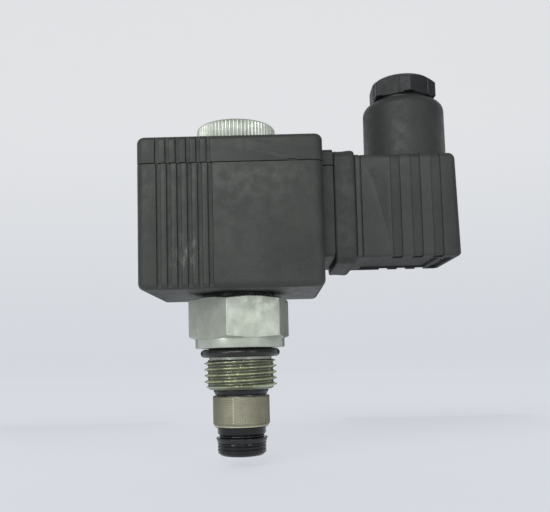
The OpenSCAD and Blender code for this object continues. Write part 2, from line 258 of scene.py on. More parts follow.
def arc(cx, cy, r, start, end, steps):
    """Points on an arc, from start to end, in degrees."""
    points = []
    for i in range(steps + 1):
        a = math.radians(start + (end - start) * i / steps)
        points.append((cx + r * math.cos(a), cy + r * math.sin(a)))
    return points


def circle(r, z, steps):
    """Points of a level circle round the valve axis."""
    turns = [2 * math.pi * j / steps for j in range(steps)]
    return [(r * math.cos(a), r * math.sin(a), z) for a in turns]


def rod_x(r, x0, x1, y, z, steps=48):
    """A round bar along X."""
    rings = []
    for x in (x0, x1):
        rings.append([(x, y + py, z + pz) for py, pz in arc(0, 0, r, 0, 360, steps)[:-1]])
    return Shape().loft(rings)


def rod_z(r, z0, z1, centre=(0, 0), steps=64):
    return Shape().lathe([(r, z0), (r, z1)], steps, centre)


def box_shape(x0, x1, y0, y1, z0, z1):
    low = [(x0, y0, z0), (x1, y0, z0), (x1, y1, z0), (x0, y1, z0)]
    return Shape().loft([low, [(x, y, z1) for x, y, _ in low]])


def groove_points(x, width, depth):
    """Depth of a broad face along x across one groove with slightly rounded walls."""
    e = 0.08
    return [
        (x - e, 0), (x, 0.04), (x + 0.06, depth * 0.8), (x + 0.16, depth),
        (x + width - 0.16, depth), (x + width - 0.06, depth * 0.8), (x + width, 0.04), (x + width + e, 0),
    ]


def block_outline(x0, x1, half_y, r, inset, dips, corner_steps=7):
    """Outline of a block seen from above: rounded corners, and dips as (x, depth) in both broad faces."""
    a, b, c = x0 + inset, x1 - inset, half_y - inset
    rr = max(r - inset, 0.25)
    front = [(x, -half_y + max(inset, d)) for x, d in dips]
    back = [(x, half_y - max(inset, d)) for x, d in reversed(dips)]
    points = list(front)
    points += arc(b - rr, -c + rr, rr, -90, 0, corner_steps)
    points += arc(b - rr, c - rr, rr, 0, 90, corner_steps)
    points += back
    points += arc(a + rr, c - rr, rr, 90, 180, corner_steps)
    points += arc(a + rr, -c + rr, rr, 180, 270, corner_steps)
    return points


def at_height(outline, z):
    return [(x, y, z) for x, y in outline]


def fillet_levels(z_edge, r, up, steps=8):
    """(z, inset) pairs that round a horizontal edge at z_edge; up is True for a top edge."""
    levels = []
    for i in range(steps + 1):
        t = math.radians(90 * i / steps)
        inset = r * (1 - math.cos(t))
        rise = r - r * math.sin(t)
        levels.append((z_edge - rise if up else z_edge + rise, inset))
    return levels


# ---------------------------------------------------------------- coil
def coil_dips(shift, taper=0.0):
    dips = []
    for i in range(GROOVE_COUNT):
        x = GROOVE_X0 + shift + i * GROOVE_PITCH
        dips += groove_points(x + taper, GROOVE_W - 2 * taper, GROOVE_DEPTH)
    return dips


def make_coil_shell():
    """Lower shell: open at the seam, grooved on both broad faces, with the terminal boss."""
    dips = coil_dips(0)
    flat = [(x, 0) for x, _ in dips]
    inside = block_outline(COIL_X0, COIL_X1, COIL_HALF_Y, COIL_EDGE_R, WALL, flat)
    rings = [at_height(inside, COIL_Z0 + WALL), at_height(inside, SEAM_LOW)]
    levels = [(SEAM_LOW, 0.16), (SEAM_LOW - 0.05, 0.05), (SEAM_LOW - 0.16, 0.0)]
    levels += [(COIL_Z0 + 20, 0.0)] + fillet_levels(COIL_Z0, COIL_FOOT_R, up=False)
    for z, inset in levels:
        rings.append(at_height(block_outline(COIL_X0, COIL_X1, COIL_HALF_Y, COIL_EDGE_R, inset, dips), z))
    shell = Shape().loft(rings).build("coil_shell")
    carve(shell, boss_shape(BOSS_Z0, SEAM_LOW, 1.2, 0.14), join=True)
    carve(shell, rod_z(COIL_BORE_R, COIL_Z0 - 1, COIL_Z0 + WALL + 1))
    carve(shell, rod_x(SCREW_BORE_R, COIL_X1 - 4, BOSS_X1 + 1, 0, FIXING_Z))
    slot_x = (COIL_X1 - 4, BOSS_X1 + 1)
    thick, wide = BLADE_SLOT
    for y in (-BLADE_Y, BLADE_Y):
        carve(shell, box_shape(*slot_x, y - thick, y + thick, BLADE_Z - wide, BLADE_Z + wide))
    carve(shell, box_shape(*slot_x, -wide, wide, BLADE_Z + EARTH_SLOT_Z[0], BLADE_Z + EARTH_SLOT_Z[1]))
    return shell


def boss_shape(z0, z1, r_low, r_high):
    """The raised pad that carries the terminals, between two heights."""
    x0 = COIL_X1 - 0.8
    low = fillet_levels(z0, r_low, up=False, steps=5)
    high = fillet_levels(z1, r_high, up=True, steps=5)
    rings = []
    for z, inset in list(reversed(low)) + high:
        c = BOSS_HALF_Y - inset
        e = 0.3
        b = BOSS_X1 - min(inset, e) * 0.6
        side = [(x0, -c), (b - e, -c)] + arc(b - e, -c + e, e, -90, 0, 3)[1:]
        side += arc(b - e, c - e, e, 0, 90, 3) + [(x0, c)]
        rings.append(at_height(side, z))
    return Shape().loft(rings)


def make_coil_cap():
    """Cap above the seam, a hair wider than the shell."""
    dips = coil_dips(CAP_GROOVE_SHIFT, CAP_GROOVE_TAPER)
    flat = [(x, 0) for x, _ in dips]
    x0, x1, half_y = COIL_X0, COIL_X1 + CAP_OVERHANG, COIL_HALF_Y
    inside = block_outline(x0, x1, half_y, COIL_EDGE_R, WALL, flat)
    rings = [at_height(inside, COIL_Z1 - WALL), at_height(inside, SEAM_HIGH)]
    levels = [(SEAM_HIGH, 0.2), (SEAM_HIGH + 0.06, 0.07), (SEAM_HIGH + 0.2, 0.0)]
    levels += fillet_levels(COIL_Z1, COIL_TOP_R, up=True)
    for z, inset in levels:
        rings.append(at_height(block_outline(x0, x1, half_y, COIL_EDGE_R, inset, dips), z))
    cap = Shape().loft(rings).build("coil_cap_moulding")
    carve(cap, boss_shape(SEAM_HIGH, BOSS_Z1, 0.14, 1.2), join=True)
    carve(cap, rod_z(COIL_BORE_R, COIL_Z1 - WALL - 1, COIL_Z1 + 1))
    chip = box_shape(*SEAM_CHIP_X, -half_y - 1, -half_y + 0.3, SEAM_HIGH - 1, SEAM_HIGH + 0.35)
    carve(cap, chip)
    return cap


# ---------------------------------------------------------------- plug connector
def plug_dips(depth):
    dips = []
    for x in PLUG_BANDS:
        far = x + PLUG_BAND_W
        dips += [(x - 0.06, 0), (x, 0.04), (x + 0.06, depth)]
        dips += [(far - 0.06, depth), (far, 0.04), (far + 0.06, 0)]
    return dips


def plug_outline(inset, dips, r, draft=0.0):
    """Outline of the plug housing with a step rib at the gasket side."""
    x0, x1 = GASKET_HI[0], PLUG_HI[0] - draft
    half = PLUG_HI[1] - draft
    step = PLUG_STEP
    front = [(x0 + 0.02, inset + 0.25), (x0 + 0.25, inset), (x0 + 1.25, inset)]
    front += [(x0 + 1.35, inset + step + 0.3), (x0 + 1.6, inset + step + 0.3), (x0 + 1.7, inset + step)]
    front += [(x, d + step + inset) for x, d in dips]
    points = [(x, -half + d) for x, d in front]
    c, b = half - step - inset, x1 - inset
    rr = max(r - inset, 0.3)
    points += arc(b - rr, -c + rr, rr, -90, 0, 7)
    points += arc(b - rr, c - rr, rr, 0, 90, 7)
    points += [(x, half - d) for x, d in reversed(front)]
    return points


def make_plug_housing():
    """Housing block with recess bands, a recessed underside and the round cable entry neck."""
    z0, z1 = PLUG_LO[2], PLUG_TOP
    band = plug_dips(PLUG_BAND_DEPTH)
    rings = []
    for z, inset in reversed(fillet_levels(z0, 0.9, up=False, steps=6)):
        rings.append(at_height(plug_outline(inset, band, PLUG_EDGE_R), z))
    for z, inset in fillet_levels(z1, 1.7, up=True, steps=7):
        rings.append(at_height(plug_outline(inset, band, PLUG_EDGE_R, 0.45), z))
    body = Shape().loft(rings).build("plug_housing")
    neck = [(0.5, z1 - 3), (PLUG_NECK_R, z1 - 3), (PLUG_NECK_R, z1 + 0.25), (PLUG_NECK_R - 0.1, z1 + 0.6)]
    top_r = 2.7
    neck += arc(PLUG_NECK_R - 0.2 - top_r, NECK_TOP - top_r, top_r, 0, 90, 9)
    neck += [(0.5, NECK_TOP)]
    carve(body, Shape().lathe(neck, 120, (GLAND_X, 0)), join=True, sharp=30)
    half = PLUG_HI[1]
    for x in PLUG_BANDS:
        for y0, y1 in ((-half - 1, -half + 3.4), (half - 3.4, half + 1)):
            carve(body, box_shape(x, x + PLUG_BAND_W, y0, y1, z0 - 1, z0 + 0.4), sharp=30)
    for x0, x1 in ((GASKET_HI[0] + 3.0, PLUG_RIB_X[0]), (PLUG_RIB_X[1], PLUG_HI[0] - 1.6)):
        carve(body, box_shape(x0, x1, -half + 4.2, half - 2.2, z0 - 1, z0 + 0.8), sharp=30)
    carve(body, rod_z(GLAND_BORE_R, z1 - 4, NECK_TOP + 1, (GLAND_X, 0)), sharp=30)
    carve(body, box_shape(28, PLUG_HI[0] - WALL, -half + WALL, half - WALL, z0 + 7.2, z1 - WALL), sharp=30)
    carve(body, rod_x(FIXING_SHANK_R, 28, 58, 0, FIXING_Z), sharp=30)
    carve(body, rod_x(FIXING_HEAD_R, PLUG_HI[0] - 4.4, 58, 0, FIXING_Z), sharp=30)
    dimple = Shape().loft([[(x, y, z) for x, z in arc(*PLUG_DIMPLE, r, 0, 360, 20)[:-1]]
                           for y, r in ((-half + 0.7, 0.35), (-half - 0.1, 0.75))])
    carve(body, dimple, sharp=30)
    nick = box_shape(PLUG_HI[0] - 0.75, PLUG_HI[0] + 1, -half - 1, -half + 1.7, *PLUG_NICK_Z)
    carve(body, nick, sharp=30)
    return body


def make_gasket():
    """Square profile gasket: rounded corners and softly rounded outer edges."""
    x0, x1 = GASKET_LO[0], GASKET_HI[0]
    half = (GASKET_HI[2] - GASKET_LO[2]) / 2
    zc = (GASKET_HI[2] + GASKET_LO[2]) / 2
    rings = []
    profile = [(x0, 0.6), (x0 + 0.12, 0.3), (x0 + 0.4, 0.12), (x0 + 1.2, 0.2), (x0 + 2.4, 0.16),
               (x1 - 1.7, 0.02), (x1 - 0.9, 0.0), (x1 - 0.4, 0.12), (x1 - 0.1, 0.35), (x1, 0.65)]
    for x, inset in profile:
        c = half - inset
        r = 3.0 - inset
        line = []
        for sy, sz, start in ((1, 1, 0), (-1, 1, 90), (-1, -1, 180), (1, -1, 270)):
            line += arc(sy * (c - r), sz * (c - r), r, start, start + 90, 8)
        rings.append([(x, y, zc + z) for y, z in line])
    gasket = Shape().loft(rings).build("profile_gasket")
    carve(gasket, box_shape(x0 - 1, x1 + 1, -10.5, 10.5, zc - 7, zc + 10.6))
    carve(gasket, rod_x(1.9, x0 - 1, x1 + 1, 0, FIXING_Z))
    return gasket


def hex_radius(angle, across_flats):
    """Radius of a hexagon with slightly broken corners, as a function of angle from a vertex."""
    a = (angle + math.pi / 6) % (math.pi / 3) - math.pi / 6
    flat = across_flats / 2 / math.cos(math.pi / 6 - abs(a))
    corner = across_flats / 2 / math.cos(math.pi / 6)
    return min(flat, corner - CORNER_BREAK)


def hex_angles():
    """Angles round a hexagon, closer together near its corners."""
    steps = (-30, -25, -20, -15, -10, -6, -3.5, -2, -1.2, -0.6, 0, 0.6, 1.2, 2, 3.5, 6, 10, 15, 20, 25)
    return [math.radians(60 * k + s) for k in range(6) for s in steps]


def hex_rings(across_flats, turn, levels, centre=(0, 0)):
    """Rings of a hexagonal bar; each level is (z, radius that a turned chamfer allows)."""
    rings = []
    for z, limit in levels:
        ring = []
        for a in hex_angles():
            r = min(hex_radius(a, across_flats), limit)
            ring.append((centre[0] + r * math.cos(a + turn), centre[1] + r * math.sin(a + turn), z))
        rings.append(ring)
    return rings


def chamfer_levels(z0, z1, r_flat, r_corner, slope, steps=10):
    """Levels for a hexagon with a turned chamfer of that slope at both ends."""
    reach = r_corner - r_flat
    drop = reach * slope
    low = [(z0 + drop * i / steps, r_flat + reach * i / steps) for i in range(steps + 1)]
    high = [(z1 - drop * i / steps, r_flat + reach * i / steps) for i in reversed(range(steps + 1))]
    return low + high


def make_gland_screw():
    """Hexagonal gland screw with a crown chamfer and a cable bore."""
    corner = GLAND_AF / 2 / math.cos(math.pi / 6)
    flat = GLAND_AF / 2
    levels = [(GLAND_Z0, flat + 0.35), (GLAND_Z0 + 0.25, corner)]
    steps = 8
    for i in range(steps + 1):
        levels.append((GLAND_Z1 - 1.5 + 1.5 * i / steps, corner - (corner - flat + 0.7) * i / steps))
    hexagon = hex_rings(GLAND_AF, GLAND_TURN, levels, (GLAND_X, 0))
    screw = Shape().loft(hexagon).build("gland_screw_moulding", 24)
    carve(screw, rod_z(GLAND_THREAD_R, SCREW_LO[2], GLAND_Z0 + 0.2, (GLAND_X, 0)), join=True, sharp=24)
    lip = [(0.5, GLAND_Z1 + 1), (5.4, GLAND_Z1 + 1), (5.4, GLAND_Z1 - 0.1), (CABLE_BORE_R, GLAND_Z1 - 1.5)]
    lip += [(CABLE_BORE_R, SCREW_LO[2] - 1), (0.5, SCREW_LO[2] - 1)]
    carve(screw, Shape().lathe(lip, 72, (GLAND_X, 0)), sharp=24)
    for k in range(6):
        t = GLAND_TURN + math.radians(60 * k + 42)
        reach = flat / math.cos(math.radians(12)) + 0.04
        spot = (GLAND_X + reach * math.cos(t), reach * math.sin(t))
        carve(screw, rod_z(0.22, GLAND_Z0 + 0.3, GLAND_Z1 - 1.0, spot, 12), join=True, sharp=24)
    return screw


# ---------------------------------------------------------------- knurled nut
def make_coil_nut():
    """Coil nut with straight knurls, chamfered rims and a through bore."""
    per = 10
    z0, z1 = NUT_LO[2], NUT_HI[2]
    r_out = NUT_HI[0]
    levels = [(z0, 0.9, 0), (z0 + 0.25, 0.42, 0.4), (z0 + 0.6, 0.05, 1), (z1 - 0.8, 0.0, 1)]
    levels += [(z1 - 0.5, 0.12, 1), (z1 - 0.28, 0.36, 0.6), (z1 - 0.12, 0.66, 0.2), (z1, 1.05, 0)]
    rings = []
    for z, inset, cut in levels:
        ring = []
        for i in range(NUT_KNURLS * per):
            a = 2 * math.pi * i / (NUT_KNURLS * per)
            phase = (i % per) / per
            tooth = abs(2 * phase - 1)
            dip = KNURL_DEPTH * cut * max(0.0, 1 - 1.5 * tooth) ** 0.8
            r = r_out - inset - dip
            ring.append((r * math.cos(a), r * math.sin(a), z))
        rings.append(ring)
    nut = Shape().loft(rings).build("knurled_nut", 50)
    bore = [(0.5, z1 + 1), (5.0, z1 + 1), (5.0, z1), (NUT_BORE_R, z1 - 0.9)]
    bore += [(NUT_BORE_R, z0 - 1), (0.5, z0 - 1)]
    carve(nut, Shape().lathe(bore, 72), sharp=50)
    carve(nut, rod_z(NUT_RECESS_R, z0 - 1, z0 + 1.6), sharp=50)
    return nut


# ---------------------------------------------------------------- valve body
def thread_radius(z_turn):
    """Radius of a unified thread at a distance along the pitch, measured from a crest."""
    t = abs((z_turn / THREAD_PITCH) % 1 - 0.5) * 2
    depth = 0.6134 * THREAD_PITCH
    crest, root = 0.13, 0.22
    if t > 1 - crest:
        return THREAD_R
    if t < root:
        return THREAD_R - depth
    return THREAD_R - depth * (1 - crest - t) / (1 - crest - root)


def make_valve_body():
    """Hexagon with turned chamfers, collar, seal neck and lower spigot, bored for the inner parts."""
    corner = HEX_AF / 2 / math.cos(math.pi / 6) + 0.05
    flat = HEX_AF / 2 - 0.2
    slope = math.tan(math.radians(17))
    levels = [(COLLAR_H - 0.6, flat)] + chamfer_levels(COLLAR_H - 0.35, HEX_TOP, flat, corner, slope)
    body = Shape().loft(hex_rings(HEX_AF, HEX_TURN, levels)).build("valve_body_turned", 28)
    top, low = COLLAR_H - 0.3, BODY_LO[2]
    profile = [(0.2, top), (COLLAR_R - 0.3, top), (COLLAR_R - 0.12, top - 0.02), (COLLAR_R, top - 0.18)]
    profile += [(COLLAR_R, 0.3), (COLLAR_R - 0.08, 0.1), (COLLAR_R - 0.25, 0.0), (NECK_R + 0.3, 0.0)]
    profile += [(NECK_R, -0.25), (NECK_R, THREAD_TOP - 0.4)]
    profile += [(SPIGOT_R, THREAD_TOP - 0.4), (SPIGOT_R, low + 0.3)]
    profile += [(6.0, low), (0.2, low)]
    carve(body, Shape().lathe(profile, 128), join=True, sharp=28)
    bores = [(0.1, low - 1), (BODY_BORE_R, low - 1), (BODY_BORE_R, BODY_BORE_TOP)]
    bores += [(STEM_BORE_R, BODY_BORE_TOP), (STEM_BORE_R, TUBE_SOCKET_Z)]
    bores += [(TUBE_SOCKET_R, TUBE_SOCKET_Z), (TUBE_SOCKET_R, HEX_TOP + 2.1), (0.1, HEX_TOP + 2.1)]
    carve(body, Shape().lathe(bores, 96), sharp=28)
    return body


def make_thread():
    """Helical cavity thread, chamfered at both ends, round the spigot."""
    steps, rows = 144, 110
    rings = []
    core = THREAD_R - 0.62 * THREAD_PITCH
    for i in range(rows + 1):
        z = THREAD_TOP + (THREAD_LOW - THREAD_TOP) * i / rows
        top_limit = core + 0.05 + (THREAD_TOP - z) * 2.4
        low_limit = core - 0.35 + (z - THREAD_LOW) * 1.25
        ring = []
        for j in range(steps):
            a = 2 * math.pi * j / steps
            r = min(thread_radius(z - THREAD_PITCH * a / (2 * math.pi)), top_limit, low_limit)
            ring.append((r * math.cos(a), r * math.sin(a), z))
        rings.append(ring)
    for z in (THREAD_LOW, THREAD_TOP):
        rings.append(circle(SPIGOT_R - 0.01, z, steps))
    return Shape().loft(rings, wrap=True).build("cavity_thread_helix", 28)


def torus(name, r_mid, r_cord, z, tilt, steps=128, around=24):
    """A rubber ring that sits slightly askew; tilt is its lean along X and Y, in radians."""
    rings = []
    for i in range(steps):
        a = 2 * math.pi * i / steps
        lift = math.sin(tilt[0]) * r_mid * math.cos(a) + math.sin(tilt[1]) * r_mid * math.sin(a)
        ring = []
        for dr, dz in arc(0, 0, r_cord, 0, 360, around)[:-1]:
            r = r_mid + dr
            ring.append((r * math.cos(a), r * math.sin(a), z + dz + lift))
        rings.append(ring)
    return Shape().loft(rings, wrap=True).build(name, 60)


# ---------------------------------------------------------------- cartridge end
def make_filter_screen():
    """Woven wire sleeve: two families of wires that cross at about 45 degrees."""
    rows, per = 13, 5
    z0, z1 = SCREEN_LO[2], SCREEN_HI[2]
    r_out = SCREEN_HI[0]
    steps = SCREEN_WIRES * per
    levels = rows * per
    rings = []
    for i in range(levels + 1):
        z = z0 + (z1 - z0) * i / levels
        end = min(1.0, (z - z0) / 0.7)
        inset = 0.5 * (1 - end) ** 1.3 + (0.12 if z > z1 - 0.15 else 0)
        ring = []
        for j in range(steps):
            a = 2 * math.pi * j / steps
            u = j / per + i / per
            v = j / per - i / per
            wire = max(abs(math.sin(math.pi * u)), abs(math.sin(math.pi * v)))
            dip = 0.24 * (1 - wire) ** 0.7 * min(1.0, end * 1.5)
            r = r_out - inset - dip
            ring.append((r * math.cos(a), r * math.sin(a), z))
        rings.append(ring)
    inner = [circle(SCREEN_BORE_R, z, steps) for z in (z1, z0)]
    return Shape().loft(rings + inner, wrap=True).build("woven_screen", 70)


def make_cage():
    """Nose of the cartridge: upper land, seal groove and lower land, with softened edges."""
    land_top = SCREEN_LO[2] - 0.3
    land_r = NOSE_LAND_R
    z_land = land_top - 1.9
    z_groove = land_top - 3.9
    tip = CAGE_LO[2]
    outer = [(6.9, land_top + 0.6), (6.95, land_top + 0.4), (6.9, land_top + 0.1), (6.7, land_top)]
    outer += [(land_r + 0.1, land_top), (land_r + 0.08, land_top - 0.2), (land_r, land_top - 0.6)]
    outer += [(r, z) for r, z in arc(land_r - 0.5, z_land + 0.5, 0.5, 0, -90, 5)]
    outer += [(NOSE_GROOVE_R, z_land), (NOSE_GROOVE_R, z_groove)]
    outer += [(r, z) for r, z in arc(land_r - 0.15, z_groove - 0.15, 0.15, 90, 0, 3)]
    for z in (z_groove - 0.75, z_groove - 1.6):
        outer += [(land_r, z + 0.2), (land_r - 0.17, z + 0.05), (land_r - 0.17, z - 0.05), (land_r, z - 0.2)]
    outer += [(land_r - 0.02, tip + 0.9), (land_r - 0.1, tip + 0.7), (land_r - 0.5, tip + 0.3)]
    outer += [(land_r - 0.85, tip + 0.06), (land_r - 1.15, tip)]
    inner = [(NOSE_BORE_R + 0.2, tip), (NOSE_BORE_R, tip + 0.2), (NOSE_BORE_R, CAGE_SEAT_Z)]
    inner += [(BODY_BORE_R, CAGE_SEAT_Z), (BODY_BORE_R, CAGE_TOP), (7.0, CAGE_TOP), (7.1, CAGE_TOP - 0.2)]
    return Shape().lathe([*reversed(outer), *reversed(inner)], 112, wrap=True).build("cartridge_nose", 30)


def make_backup_ring():
    """Backup ring with a thin lip that flares past the nose."""
    z0, z1 = BACKUP_LO[2], BACKUP_HI[2]
    profile = [(BACKUP_BORE_R, z0), (6.3, z0), (6.42, z0 + 0.15), (6.5, z0 + 0.5), (6.66, z1 - 0.35)]
    profile += [(6.7, z1 - 0.15), (6.6, z1 - 0.02), (6.35, z1), (BACKUP_BORE_R, z1)]
    return Shape().lathe(profile, 112, wrap=True).build("backup_ring_lip", 50)


def make_cage_seal():
    """Black seal between thread and screen, narrower towards the screen."""
    z0, z1 = CAGE_SEAL_LO[2], CAGE_SEAL_HI[2]
    r_in = SPIGOT_R + 0.02
    profile = [(r_in, z0), (6.7, z0), (6.85, z0 + 0.2), (7.0, z0 + 0.6), (7.25, z1 - 0.2), (7.15, z1)]
    profile += [(r_in, z1)]
    return Shape().lathe(profile, 112, wrap=True).build("cage_seal_ring", 50)


# ---------------------------------------------------------------- springs
def make_spring(name, node, wire_r, turns):
    """Wound wire spring, one closed turn at each end."""
    low, high = mm_box(node)
    z0, z1, r_mid = low[2] + wire_r, high[2] - wire_r, high[0] - wire_r
    open_turns = turns - 2
    open_pitch = (z1 - z0 - 4 * wire_r) / open_turns
    rings = []
    steps = int(turns * 28)
    for i in range(steps + 1):
        turn = turns * i / steps
        closed_part = min(turn, 1) + max(turn - turns + 1, 0)
        z = z0 + 2 * wire_r * closed_part + open_pitch * min(max(turn - 1, 0), open_turns)
        a = 2 * math.pi * turn
        rings.append([((r_mid + dr) * math.cos(a), (r_mid + dr) * math.sin(a), z + dz)
                      for dr, dz in arc(0, 0, wire_r, 0, 360, 10)[:-1]])
    spring = Shape().loft(rings).build(name)
    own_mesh(spring)
    return spring


# ---------------------------------------------------------------- materials
class Paint:
    """A node material: a Principled shader with helpers for the noise and wear that feed it."""

    def __init__(self, name, colour, metallic=0.0, roughness=0.5, specular=0.5):
        self.mat = bpy.data.materials.new(name)
        self.mat.use_nodes = True
        self.tree = self.mat.node_tree
        self.shader = self.tree.nodes["Principled BSDF"]
        self.shader.inputs["Base Color"].default_value = (*colour, 1)
        self.shader.inputs["Metallic"].default_value = metallic
        self.shader.inputs["Roughness"].default_value = roughness
        self.shader.inputs["Specular IOR Level"].default_value = specular
        self.coords = self.tree.nodes.new("ShaderNodeTexCoord").outputs["Object"]
        self.normal = None

    def node(self, kind, **inputs):
        n = self.tree.nodes.new(kind)
        for key, value in inputs.items():
            socket = n.inputs[key.replace("_", " ")]
            if isinstance(value, bpy.types.NodeSocket):
                self.tree.links.new(value, socket)
            else:
                socket.default_value = value
        return n

    def stretched(self, sx=1.0, sy=1.0, sz=1.0):
        mapping = self.node("ShaderNodeMapping", Vector=self.coords)
        mapping.inputs["Scale"].default_value = (sx, sy, sz)
        return mapping.outputs["Vector"]

    def noise(self, scale, detail=4.0, rough=0.6, vector=None):
        """Noise with features of about 1/scale metres."""
        at = vector or self.coords
        n = self.node("ShaderNodeTexNoise", Vector=at, Scale=scale, Detail=detail, Roughness=rough)
        return n.outputs["Fac"]

    def ramp(self, fac, low, high, from_value=0.0, to_value=1.0):
        """Maps fac from low..high to from_value..to_value, clamped and eased."""
        n = self.node("ShaderNodeMapRange", Value=fac)
        n.interpolation_type = "SMOOTHSTEP"
        n.inputs["From Min"].default_value = low
        n.inputs["From Max"].default_value = high
        n.inputs["To Min"].default_value = from_value
        n.inputs["To Max"].default_value = to_value
        return n.outputs["Result"]

    def maths(self, operation, a, b):
        n = self.tree.nodes.new("ShaderNodeMath")
        n.operation = operation
        n.use_clamp = operation != "SUBTRACT"
        for i, value in enumerate((a, b)):
            if isinstance(value, bpy.types.NodeSocket):
                self.tree.links.new(value, n.inputs[i])
            else:
                n.inputs[i].default_value = value
        return n.outputs["Value"]

    def mix(self, fac, a, b):
        """Mixes two colours; each may be a tuple or a socket."""
        n = self.tree.nodes.new("ShaderNodeMix")
        n.data_type = "RGBA"
        sockets = (n.inputs["Factor"], n.inputs[6], n.inputs[7])
        for socket, value in zip(sockets, (fac, a, b)):
            if isinstance(value, bpy.types.NodeSocket):
                self.tree.links.new(value, socket)
            else:
                socket.default_value = value if isinstance(value, float) else (*value, 1)
        return n.outputs[2]

    def bump(self, height, strength, distance):
        inputs = {"Height": height, "Strength": strength, "Distance": distance}
        if self.normal is not None:
            inputs["Normal"] = self.normal
        self.normal = self.node("ShaderNodeBump", **inputs).outputs["Normal"]
        self.tree.links.new(self.normal, self.shader.inputs["Normal"])

    def axis(self, name):
        return self.node("ShaderNodeSeparateXYZ", Vector=self.coords).outputs[name]

    def edges(self, low=0.52, high=0.6):
        """Where the surface turns sharply outwards."""
        return self.ramp(self.tree.nodes.new("ShaderNodeNewGeometry").outputs["Pointiness"], low, high)

    def set_colour(self, socket):
        self.tree.links.new(socket, self.shader.inputs["Base Color"])

    def set_roughness(self, socket):
        self.tree.links.new(socket, self.shader.inputs["Roughness"])


def tinted(colour, factor):
    return tuple(min(1.0, c * factor) for c in colour)


def moulded_plastic(name, colour, dust=(0.2, 0.2, 0.19), scuffs=0.5, roughness=0.52, scuff_spot=None):
    """Matt black moulding: fine grain, cloudy tone, hairline scratches and pale scuffs."""
    p = Paint(name, colour, 0.0, roughness, 0.42)
    cloud = p.ramp(p.noise(75, 5), 0.36, 0.66)
    base = p.mix(cloud, tinted(colour, 0.84), tinted(colour, 1.16))
    grain = p.noise(2600, 3, 0.7)
    base = p.mix(p.ramp(grain, 0.5, 0.85, 0.0, 0.16), base, dust)
    patches = p.ramp(p.noise(160, 6, 0.7), 0.55, 0.74)
    scratch = p.ramp(p.noise(1400, 5, 0.75, p.stretched(0.16, 1.0, 1.0)), 0.56, 0.7)
    marks = p.maths("MULTIPLY", patches, scratch)
    if scuff_spot:
        marks = p.maths("ADD", marks, rubbed_spot(p, *scuff_spot))
    base = p.mix(p.maths("MULTIPLY", marks, scuffs), base, dust)
    base = p.mix(p.ramp(p.edges(), 0.0, 1.0, 0.0, 0.12), base, dust)
    p.set_colour(base)
    p.set_roughness(p.ramp(p.noise(420, 4), 0.3, 0.7, roughness - 0.07, roughness + 0.1))
    p.bump(p.noise(3600, 2, 0.6), 0.16, 0.0002)
    p.bump(p.noise(700, 3), 0.05, 0.0004)
    return p.mat


def rubbed_spot(p, x, z, half_width, half_height):
    """Upright pale rub marks round a spot on the front face."""
    near = []
    for name, middle, reach in (("X", x, half_width), ("Z", z, half_height)):
        away = p.maths("ABSOLUTE", p.maths("SUBTRACT", p.axis(name), middle), 0)
        near.append(p.ramp(away, reach, reach * 0.3))
    front = p.ramp(p.axis("Y"), 0.0, -0.001)
    rub = p.ramp(p.noise(900, 5, 0.7, p.stretched(1.0, 1.0, 0.3)), 0.46, 0.66)
    spot = p.maths("MULTIPLY", p.maths("MULTIPLY", *near), front)
    return p.maths("MULTIPLY", spot, rub)


def rubber(name, colour, roughness, dust=(0.2, 0.2, 0.19), dusty=0.25):
    p = Paint(name, colour, 0.0, roughness, 0.45)
    cloud = p.ramp(p.noise(260, 5), 0.4, 0.7)
    base = p.mix(cloud, tinted(colour, 0.8), tinted(colour, 1.2))
    specks = p.ramp(p.noise(2200, 4, 0.7), 0.6, 0.75, 0.0, dusty)
    p.set_colour(p.mix(specks, base, dust))
    p.set_roughness(p.ramp(p.noise(800, 4), 0.3, 0.7, roughness - 0.08, roughness + 0.1))
    p.bump(p.noise(2600, 3, 0.65), 0.12, 0.0002)
    return p.mat


def plated_metal(name, colour, stain, roughness=0.3, brushed=(1.0, 1.0, 1.0), streaks=0.35, metallic=1.0):
    """Plated metal with fine turning marks, cloudy stains and brighter rubbed edges."""
    p = Paint(name, colour, metallic, roughness, 0.5)
    cloud = p.ramp(p.noise(190, 6, 0.65), 0.36, 0.7)
    base = p.mix(cloud, colour, stain)
    line = p.noise(1700, 3, 0.6, p.stretched(*brushed))
    base = p.mix(p.ramp(line, 0.3, 0.75, 0.0, streaks), base, tinted(colour, 0.7))
    spots = p.ramp(p.noise(1500, 5, 0.75), 0.64, 0.74)
    base = p.mix(p.maths("MULTIPLY", spots, 0.4), base, tinted(stain, 0.55))
    base = p.mix(p.maths("MULTIPLY", p.edges(), 0.5), base, tinted(colour, 1.25))
    p.set_colour(base)
    blotch = p.ramp(p.noise(330, 5), 0.3, 0.7, roughness - 0.06, roughness + 0.12)
    p.set_roughness(blotch)
    p.bump(line, 0.08, 0.0002)
    p.bump(p.noise(900, 4), 0.05, 0.0003)
    return p.mat


